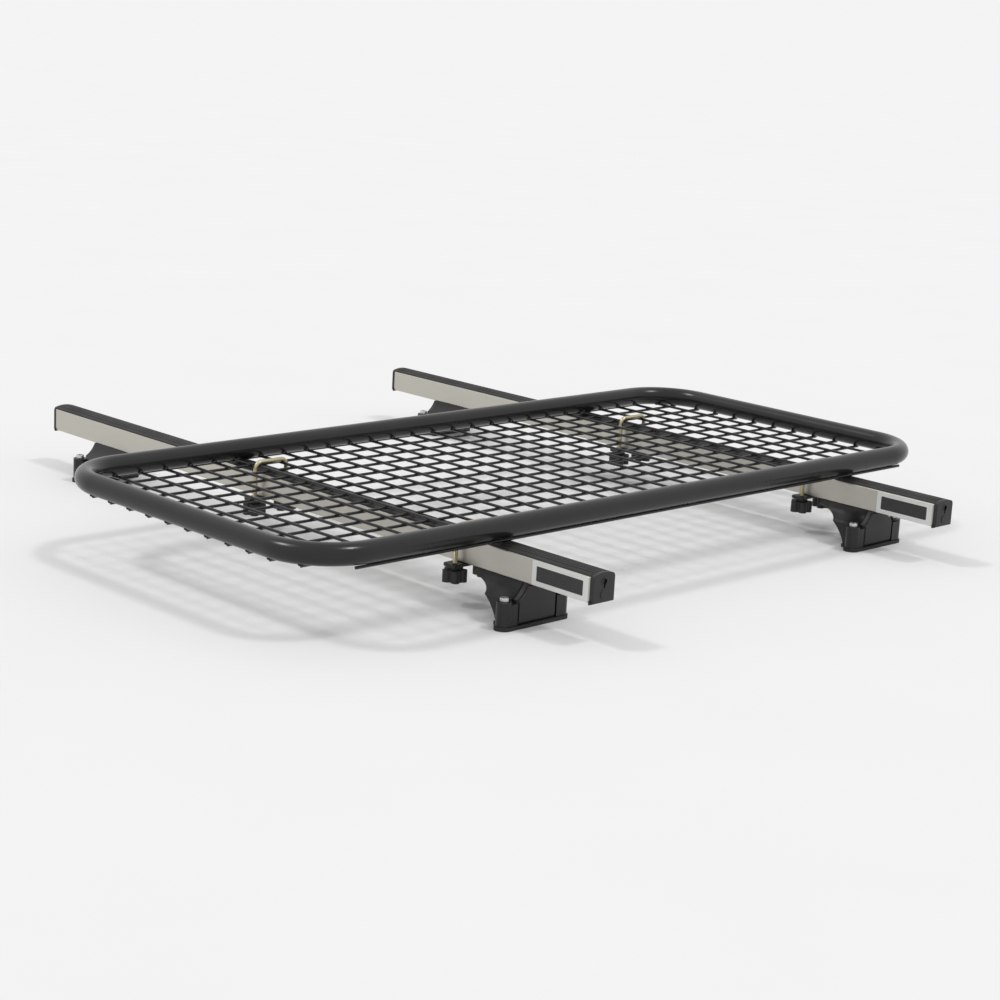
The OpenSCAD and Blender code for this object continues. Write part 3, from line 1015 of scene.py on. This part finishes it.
def cast_leg():
    """The front left leg: an arm under the bar, a post, and an upright boss before and behind it."""
    sizes = bpy.context.scene.rack_foot
    half = sizes.core / 2
    leg = side_outline("cast_leg", FOOT_X - ARM_L, FOOT_X, half, 0)
    arm_tip = Vector((FOOT_X - ARM_L, BAR_Z - sizes.arm_edge))
    under = arc_centre(arm_tip, Vector((FOOT_X - sizes.post, PAD_T)), sizes.arm_curve)
    cut(leg, add_rod("under_arm", (under.x, FRONT_Y - half - PAST, under.y), 2 * (half + PAST),
                     2 * sizes.arm_curve, "Y", 200))
    lip_y = COVER.size.y / 2 + sizes.cover_gap
    for way in (-1, 1):
        inner, outer = FRONT_Y + way * lip_y, FRONT_Y + way * boss_y()
        ear = add_box("ear", (FOOT_X - sizes.boss / 2, min(inner, outer), PAD_T),
                      (FOOT_X + COVER_T, max(inner, outer), boss_top() - sizes.ear_drop))
        unite(ear, add_rod("boss", (FOOT_X, outer, PAD_T), boss_top() - PAD_T, sizes.boss, "Z", 64))
        unite(leg, ear)
    merge_flat_faces(leg)
    return soften(leg, bpy.context.scene.rack_edges.leg, 4)


class RACK_OT_legs(bpy.types.Operator):
    """Model the cast legs"""
    bl_idname = "rack.legs"
    bl_label = "Legs"

    def execute(self, context):
        four_of(cast_leg(), "cast_leg", "leg", "powder_coat", finish_of("coat"))
        return {"FINISHED"}


def leg_cover():
    """The bare cover of the front left leg, with a raised field."""
    sizes = bpy.context.scene.rack_foot
    step, face_x = sizes.cover_step, FOOT_X + COVER_T
    half = COVER.size.y / 2
    cover = side_outline("leg_cover", FOOT_X, face_x - step, half, sizes.cover_inset)
    field = side_outline("cover_field", face_x - step - LAP, face_x, half - step, sizes.cover_inset + step)
    unite(cover, field)
    return soften(cover, bpy.context.scene.rack_edges.cover)


class RACK_OT_covers(bpy.types.Operator):
    """Model the bare covers of the legs"""
    bl_idname = "rack.covers"
    bl_label = "Leg covers"

    def execute(self, context):
        four_of(leg_cover(), "leg_cover", "cover", "cap_plastic", finish_of("plastic"))
        return {"FINISHED"}


def foot_pad():
    """The rubber pad of the front left foot, narrower under the bosses."""
    sizes = bpy.context.scene.rack_foot
    low_x, high_x = PAD[FOOT].low.x, PAD[FOOT].high.x
    rim = high_x - FOOT_X - COVER_T
    half = sizes.core / 2 + rim
    neck_x = FOOT_X - sizes.boss / 2 - rim
    body = add_box("foot_pad", (low_x, FRONT_Y - half, 0), (high_x, FRONT_Y + half, PAD_T))
    unite(body, add_box("neck", (neck_x, FRONT_Y - boss_y(), 0), (high_x, FRONT_Y + boss_y(), PAD_T)))
    for way in (-1, 1):
        unite(body, add_rod("pad_end", (FOOT_X, FRONT_Y + way * boss_y(), 0), PAD_T,
                            sizes.boss + 2 * rim, "Z", 64))
    return soften(body, bpy.context.scene.rack_edges.pad)


class RACK_OT_pads(bpy.types.Operator):
    """Model the rubber pads under the feet"""
    bl_idname = "rack.pads"
    bl_label = "Foot pads"

    def execute(self, context):
        four_of(foot_pad(), "foot_pad", "pad", "rubber", finish_of("rubber"))
        return {"FINISHED"}


def clamp_bolts():
    """The two clamp bolts of the front left foot."""
    sizes, edges = bpy.context.scene.rack_foot, bpy.context.scene.rack_edges
    seat, low_z = boss_top(), BOLTS.low.z
    across_corners = sizes.socket / math.cos(math.pi / 6)
    parts = []
    for way in (-1, 1):
        y = FRONT_Y + way * boss_y()
        head = add_rod("head", (FOOT_X, y, seat), sizes.head_height, sizes.head, "Z", 48)
        soften(head, edges.head)
        socket_z = BOLTS.high.z - sizes.socket_depth
        cut(head, add_rod("socket", (FOOT_X, y, socket_z), PAST, across_corners, "Z", 6))
        shank = add_rod("shank", (FOOT_X, y, low_z), seat - low_z + LAP, sizes.shank, "Z", 24)
        soften(shank, edges.shank, 2)
        parts += [head, shank]
    return join("clamp_bolts", parts)


class RACK_OT_bolts(bpy.types.Operator):
    """Model the clamp bolts of the feet"""
    bl_idname = "rack.bolts"
    bl_label = "Clamp bolts"

    def execute(self, context):
        four_of(clamp_bolts(), "clamp_bolts", "bolts", "bolt_steel", finish_of("steel"))
        return {"FINISHED"}


# The clamps

def close_ends(tube):
    """Caps the open ends of a swept piece and turns its faces outwards."""
    edit(tube)
    bpy.ops.mesh.select_mode(type="EDGE")
    bpy.ops.mesh.select_all(action="DESELECT")
    bpy.ops.mesh.select_non_manifold(extend=False)
    bpy.ops.mesh.fill_holes(sides=0)
    bpy.ops.mesh.select_all(action="SELECT")
    bpy.ops.mesh.normals_make_consistent(inside=False)
    leave_edit()
    return tube


def thread(name, run):
    """A thread on the Z axis, from z = 0 up."""
    sizes = bpy.context.scene.rack_clamp
    pitch = sizes.thread_pitch
    clear_selection()
    bpy.ops.mesh.primitive_plane_add(size=pitch / math.sqrt(2), rotation=(math.pi / 2, math.pi / 4, 0),
                                     location=(sizes.rod / 2 - pitch / 2, 0, pitch / 2))
    ridge = take(name)
    apply_place(ridge)
    edit_all(ridge)
    bpy.ops.mesh.delete(type="ONLY_FACE")
    leave_edit()
    use_modifier(ridge, "SCREW", axis="Z", angle=2 * math.pi, screw_offset=pitch, steps=20, render_steps=20,
                 iterations=int(run / pitch), use_merge_vertices=False)
    return close_ends(ridge)


# Depth of the thread in pitches
THREAD_DEPTH = 0.55
# How far the thread stays off the rod's tip and off the neck, and the length of the neck
THREAD_START = 0.0012
THREAD_MARGIN = 0.003
NECK = 0.0018
NECK_LAP = 0.0002


def u_bolt():
    """A U bolt about x = 0, y = 0 with its crown at the frame's height."""
    sizes, edges = bpy.context.scene.rack_clamp, bpy.context.scene.rack_edges
    box = U_BOLT[FOOT]
    half_gap = (HOOK_Y - sizes.rod) / 2
    turn_z = box.high.z - sizes.rod / 2 - sizes.bend
    neck_z = box.low.z + sizes.thread_run
    rod = add_ring("u_bolt", (0, -half_gap, neck_z), sizes.rod, 28)
    extrude(0, 0, turn_z - neck_z)
    bpy.ops.mesh.spin(steps=12, angle=math.pi / 2, axis=(1, 0, 0),
                      center=(0, sizes.bend - half_gap, turn_z))
    extrude(0, half_gap - sizes.bend, 0)
    leave_edit()
    use_modifier(rod, "MIRROR", use_axis=(False, True, False), use_clip=True, merge_threshold=CLOSE)
    close_ends(rod)
    core_d = sizes.rod - 2 * THREAD_DEPTH * sizes.thread_pitch
    parts = [rod]
    for y in (-half_gap, half_gap):
        core = add_rod("core", (0, y, box.low.z), sizes.thread_run, core_d, "Z", 24)
        soften(core, edges.rod_core, 2)
        neck = add_rod("neck", (0, y, neck_z + NECK_LAP - NECK), NECK, sizes.rod, "Z", 28)
        soften(neck, edges.rod_neck, 2)
        winding = thread("thread", sizes.thread_run - THREAD_MARGIN)
        parts += [core, neck, move(winding, (0, y, box.low.z + THREAD_START))]
    return join("u_bolt", parts)


def bridge_plate():
    """The plate under the bar about x = 0, y = 0, with a hole for each leg of the U bolt."""
    sizes = bpy.context.scene.rack_clamp
    half, low_z, high_z = BRIDGE.size / 2, BRIDGE.low.z, BRIDGE.high.z
    plate = add_box("bridge_plate", (-half.x, -half.y, low_z), (half.x, half.y, high_z))
    round_corners(plate, "Z", sizes.bridge_corner, 5)
    half_gap = (HOOK_Y - sizes.rod) / 2
    hole_d = sizes.rod + sizes.hole_gap
    for y in (-half_gap, half_gap):
        cut(plate, add_rod("hole", (0, y, low_z - PAST), high_z - low_z + 2 * PAST, hole_d))
    return soften(plate, bpy.context.scene.rack_edges.bridge, 2)


# Share of the hub's diameter that the dish under it takes, and how deep the lobes lie in the hub
DISH_SHARE = 0.72
LOBE_LAP = 0.002
# Length of what bores the knobs, from below them to well above
BORE_RUN = 0.06


def lobed_knob():
    """A hand knob about x = 0, y = 0: lobes round a hub, a collar on top and a bore."""
    sizes, edges = bpy.context.scene.rack_clamp, bpy.context.scene.rack_edges
    low_z, top_z = KNOBS.low.z, KNOBS.high.z
    grip = top_z - low_z - sizes.collar_height
    lobe_off = (KNOBS.size.x - sizes.lobe) / 2
    hub_d = 2 * lobe_off + LOBE_LAP
    hub = add_rod("lobed_knob", (0, 0, low_z), grip, hub_d, "Z", 60)
    for number in range(sizes.lobes):
        angle = 2 * math.pi * number / sizes.lobes
        place = (lobe_off * math.cos(angle), lobe_off * math.sin(angle), low_z)
        unite(hub, add_rod("lobe", place, grip, sizes.lobe, "Z", 36))
    merge_flat_faces(hub)
    soften(hub, edges.grip, 4)
    collar_z = top_z - sizes.collar_height - LAP
    collar = add_rod("collar", (0, 0, collar_z), top_z - collar_z, sizes.collar, "Z", 48)
    soften(collar, edges.collar)
    bore_d = sizes.rod + sizes.bore_gap
    for piece in (hub, collar):
        cut(piece, add_rod("bore", (0, 0, low_z - PAST), BORE_RUN, bore_d))
    cut(hub, add_rod("dish", (0, 0, low_z - PAST), PAST + sizes.dish, DISH_SHARE * hub_d, "Z", 48))
    return join("lobed_knob", [hub, collar])


def at_clamp(obj, name, foot, turn=0.0):
    """A copy of a clamp piece at one clamp."""
    where = U_BOLT[foot].mid
    piece = copy_of(obj, name)
    piece.rotation_euler = (0, 0, turn)
    return move(piece, (where.x, where.y, 0))


def four_at_clamps(obj, stem, nodes, slot, material, angle=35):
    """Puts a piece modelled about x = 0, y = 0 at all four clamps."""
    for foot in FEET:
        piece = at_clamp(obj, "%s_%s_%s" % (stem, *foot), foot)
        finish_piece(smooth(piece, angle), ["%s_%s_%s" % (nodes, *foot)], slot, material)
    drop(obj)


class RACK_OT_u_bolts(bpy.types.Operator):
    """Model the threaded U bolts"""
    bl_idname = "rack.u_bolts"
    bl_label = "U bolts"

    def execute(self, context):
        four_at_clamps(u_bolt(), "u_bolt_rod", "u_bolt", "zinc", finish_of("zinc"), 50)
        return {"FINISHED"}


class RACK_OT_bridges(bpy.types.Operator):
    """Model the bridge plates under the bars"""
    bl_idname = "rack.bridges"
    bl_label = "Bridge plates"

    def execute(self, context):
        four_at_clamps(bridge_plate(), "bridge_plate", "bridge", "powder_coat", finish_of("coat"))
        return {"FINISHED"}


class RACK_OT_knobs(bpy.types.Operator):
    """Model the lobed hand knobs"""
    bl_idname = "rack.knobs"
    bl_label = "Hand knobs"

    def execute(self, context):
        knob = lobed_knob()
        half_gap = (HOOK_Y - context.scene.rack_clamp.rod) / 2
        for foot in FEET:
            first = move(at_clamp(knob, "knob", foot, math.pi), (0, -half_gap, 0))
            second = move(at_clamp(knob, "knob", foot), (0, half_gap, 0))
            pair = join("hand_knobs_%s_%s" % foot, [first, second])
            finish_piece(smooth(pair, 40), ["knobs_%s_%s" % foot], "cap_plastic", finish_of("plastic"))
        drop(knob)
        return {"FINISHED"}


# The stage

# Where the photograph was taken from, which way, and which way is down in it
PHOTO_EYE = Vector((2.788, -2.6235, 0.9427))
PHOTO_FORWARD = Vector((-0.67163, 0.61258, -0.41672))
PHOTO_DOWN = Vector((0.33578, -0.24970, -0.90824))
SENSOR = 36.0
# Width of the picture against the rack's own
FRAMING = 1.1
FLOOR_SIZE = 400
LIGHT_DISTANCE = 4
FLOOR_TONES = (0.696, 0.704)
SKY_STRENGTH = 0.9
# Direction, spread in degrees and strength of each light
LIGHTS = {
    "overhead_front": ((-0.39, -0.45, 0.8), 9, 0.75),
    "overhead_rear": ((0.43, 0.21, 0.88), 9, 0.7),
}


def rack_corners():
    boxes = [HOOP] + list(CAP.values()) + list(PAD.values())
    return [Vector((x, y, z)) for box in boxes for x in (box.low.x, box.high.x)
            for y in (box.low.y, box.high.y) for z in (box.low.z, box.high.z)]


def add_camera():
    """A camera where the photograph was taken, aimed at the middle of the rack with a longer lens."""
    corners = [corner - PHOTO_EYE for corner in rack_corners()]
    target = (Vector(CAD_BOX[0]) + Vector(CAD_BOX[1])) / 2
    start = PHOTO_FORWARD.normalized()
    for _ in range(3):
        turn = start.rotation_difference((target - PHOTO_EYE).normalized())
        forward = turn @ start
        right = forward.cross(turn @ -PHOTO_DOWN).normalized()
        up = right.cross(forward)
        across = [corner.dot(right) / corner.dot(forward) for corner in corners]
        rise = [corner.dot(up) / corner.dot(forward) for corner in corners]
        middle = right * (min(across) + max(across)) / 2 + up * (min(rise) + max(rise)) / 2
        target = PHOTO_EYE + forward + middle
    half_width = (max(across) - min(across)) / 2
    clear_selection()
    bpy.ops.object.camera_add(location=PHOTO_EYE)
    camera = bpy.context.object
    camera.name = "photo_camera"
    turned = Matrix((right, up, -forward)).transposed().to_4x4()
    camera.matrix_world = Matrix.Translation(PHOTO_EYE) @ turned
    camera.data.sensor_width = SENSOR
    camera.data.lens = SENSOR / 2 / (half_width * FRAMING)
    bpy.context.scene.camera = camera


def add_floor():
    clear_selection()
    bpy.ops.mesh.primitive_plane_add(size=FLOOR_SIZE, location=(0, 0, 0))
    floor = take("floor")
    low, high = [(tone, tone, tone) for tone in FLOOR_TONES]
    mat, tree, shader = new_material("pale_floor", high, 0.0, 0.7)
    shader.inputs["Specular IOR Level"].default_value = 0
    shade(tree, shader, noise(tree, object_coords(tree), 3, 2), (0.3, low), (0.7, high))
    floor.data.materials.append(mat)


def add_light(name, towards, spread_angle, strength):
    """A soft light, as even over the whole floor as a large studio ceiling."""
    clear_selection()
    bpy.ops.object.light_add(type="SUN", location=Vector(towards) * LIGHT_DISTANCE)
    light = bpy.context.object
    light.name = name
    light.data.energy = strength
    light.data.angle = math.radians(spread_angle)
    light.rotation_mode = "QUATERNION"
    light.rotation_quaternion = Vector(towards).to_track_quat("Z", "Y")


def add_world():
    world = bpy.context.scene.world or bpy.data.worlds.new("studio")
    bpy.context.scene.world = world
    world.use_nodes = True
    back = world.node_tree.nodes.get("Background") or world.node_tree.nodes.new("ShaderNodeBackground")
    back.inputs["Color"].default_value = (1, 1, 1, 1)
    back.inputs["Strength"].default_value = SKY_STRENGTH


class RACK_OT_stage(bpy.types.Operator):
    """Set up the floor, the soft studio light and the camera"""
    bl_idname = "rack.stage"
    bl_label = "Stage"

    def execute(self, context):
        add_floor()
        add_world()
        for name, light in LIGHTS.items():
            add_light(name, *light)
        add_camera()
        context.scene.view_settings.view_transform = "Standard"
        return {"FINISHED"}


class RACK_PT_panel(bpy.types.Panel):
    """Lists the steps of the rack"""
    bl_idname = "RACK_PT_panel"
    bl_label = "Roof rack"
    bl_space_type = "VIEW_3D"
    bl_region_type = "UI"
    bl_category = "Roof rack"

    def draw(self, context):
        for group in SETTINGS:
            settings = getattr(context.scene, group)
            for key in settings.bl_rna.properties.keys():
                if key not in ("rna_type", "name"):
                    self.layout.prop(settings, key)
        for operator in OPERATORS:
            self.layout.operator(operator.bl_idname)


OPERATORS = (
    RACK_OT_hoop, RACK_OT_mesh, RACK_OT_bars, RACK_OT_strips, RACK_OT_caps, RACK_OT_badges,
    RACK_OT_legs, RACK_OT_covers, RACK_OT_pads, RACK_OT_bolts,
    RACK_OT_u_bolts, RACK_OT_bridges, RACK_OT_knobs, RACK_OT_stage,
)
SETTINGS = {
    "rack_platform": RackPlatformSettings,
    "rack_bar": RackBarSettings,
    "rack_foot": RackFootSettings,
    "rack_clamp": RackClampSettings,
    "rack_edges": RackEdgeSettings,
    "rack_finish": RackFinishSettings,
}
CLASSES = tuple(SETTINGS.values()) + OPERATORS + (RACK_PT_panel,)


def register():
    for item in CLASSES:
        bpy.utils.register_class(item)
    for group, kind in SETTINGS.items():
        setattr(bpy.types.Scene, group, bpy.props.PointerProperty(type=kind))


def unregister():
    for group in SETTINGS:
        delattr(bpy.types.Scene, group)
    for item in reversed(CLASSES):
        bpy.utils.unregister_class(item)


def main():
    register()
    bpy.ops.rack.hoop()
    bpy.ops.rack.mesh()
    bpy.ops.rack.bars()
    bpy.ops.rack.strips()
    bpy.ops.rack.caps()
    bpy.ops.rack.badges()
    bpy.ops.rack.legs()
    bpy.ops.rack.covers()
    bpy.ops.rack.pads()
    bpy.ops.rack.bolts()
    bpy.ops.rack.u_bolts()
    bpy.ops.rack.bridges()
    bpy.ops.rack.knobs()
    bpy.ops.rack.stage()


if __name__ == "__main__":
    main()
